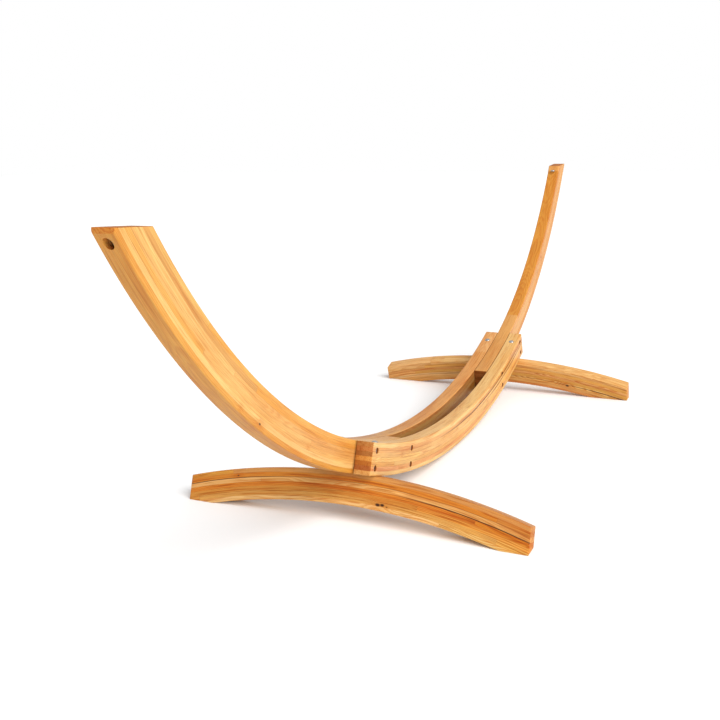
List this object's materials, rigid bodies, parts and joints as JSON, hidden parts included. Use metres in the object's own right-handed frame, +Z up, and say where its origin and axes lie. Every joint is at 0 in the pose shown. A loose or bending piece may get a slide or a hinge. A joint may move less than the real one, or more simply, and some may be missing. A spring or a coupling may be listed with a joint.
{
  "type": "hammock stand",
  "caption": "Free-standing arc of laminated timber with a hanging eye near each tip, bolted together from curved arms and centre rails and standing on arched cross feet.",
  "frame": {"origin": "middle of the stand at ground level, under the centre rails", "axes": "+X along the stand from the left arm to the right arm, +Y from the front rail to the back rail, +Z up"},
  "size_m": [4.2456, 1.29, 1.129],
  "materials": {
    "arm_timber": "satin oil or varnish over glue-laminated softwood",
    "rail_timber": "satin oil or varnish over glue-laminated softwood",
    "foot_timber": "satin oil or varnish over glue-laminated softwood",
    "joint_fasteners": "zinc plated",
    "foot_fasteners": "zinc plated",
    "eye_steel": "galvanised"
  },
  "bodies": {
    "root": {"front_rail": "rail_timber", "back_rail": "rail_timber", "left_arm": "arm_timber", "left_foot": "foot_timber", "left_joint_inner_upper_bolt": "joint_fasteners", "left_joint_inner_upper_head_washer": "joint_fasteners", "left_joint_inner_upper_nut_washer": "joint_fasteners", "left_joint_inner_upper_nut": "joint_fasteners", "left_joint_inner_lower_bolt": "joint_fasteners", "left_joint_inner_lower_head_washer": "joint_fasteners", "left_joint_inner_lower_nut_washer": "joint_fasteners", "left_joint_inner_lower_nut": "joint_fasteners", "left_joint_outer_upper_bolt": "joint_fasteners", "left_joint_outer_upper_head_washer": "joint_fasteners", "left_joint_outer_upper_nut_washer": "joint_fasteners", "left_joint_outer_upper_nut": "joint_fasteners", "left_joint_outer_lower_bolt": "joint_fasteners", "left_joint_outer_lower_head_washer": "joint_fasteners", "left_joint_outer_lower_nut_washer": "joint_fasteners", "left_joint_outer_lower_nut": "joint_fasteners", "left_foot_front_bolt": "foot_fasteners", "left_foot_front_nut_washer": "foot_fasteners", "left_foot_front_nut": "foot_fasteners", "left_foot_back_bolt": "foot_fasteners", "left_foot_back_nut_washer": "foot_fasteners", "left_foot_back_nut": "foot_fasteners", "left_eye_bolt": "eye_steel", "left_eye_washer": "eye_steel", "left_eye_nut": "eye_steel", "right_arm": "arm_timber", "right_foot": "foot_timber", "right_joint_inner_upper_bolt": "joint_fasteners", "right_joint_inner_upper_head_washer": "joint_fasteners", "right_joint_inner_upper_nut_washer": "joint_fasteners", "right_joint_inner_upper_nut": "joint_fasteners", "right_joint_inner_lower_bolt": "joint_fasteners", "right_joint_inner_lower_head_washer": "joint_fasteners", "right_joint_inner_lower_nut_washer": "joint_fasteners", "right_joint_inner_lower_nut": "joint_fasteners", "right_joint_outer_upper_bolt": "joint_fasteners", "right_joint_outer_upper_head_washer": "joint_fasteners", "right_joint_outer_upper_nut_washer": "joint_fasteners", "right_joint_outer_upper_nut": "joint_fasteners", "right_joint_outer_lower_bolt": "joint_fasteners", "right_joint_outer_lower_head_washer": "joint_fasteners", "right_joint_outer_lower_nut_washer": "joint_fasteners", "right_joint_outer_lower_nut": "joint_fasteners", "right_foot_front_bolt": "foot_fasteners", "right_foot_front_nut_washer": "foot_fasteners", "right_foot_front_nut": "foot_fasteners", "right_foot_back_bolt": "foot_fasteners", "right_foot_back_nut_washer": "foot_fasteners", "right_foot_back_nut": "foot_fasteners", "right_eye_bolt": "eye_steel", "right_eye_washer": "eye_steel", "right_eye_nut": "eye_steel"}
  },
  "joints": []
}
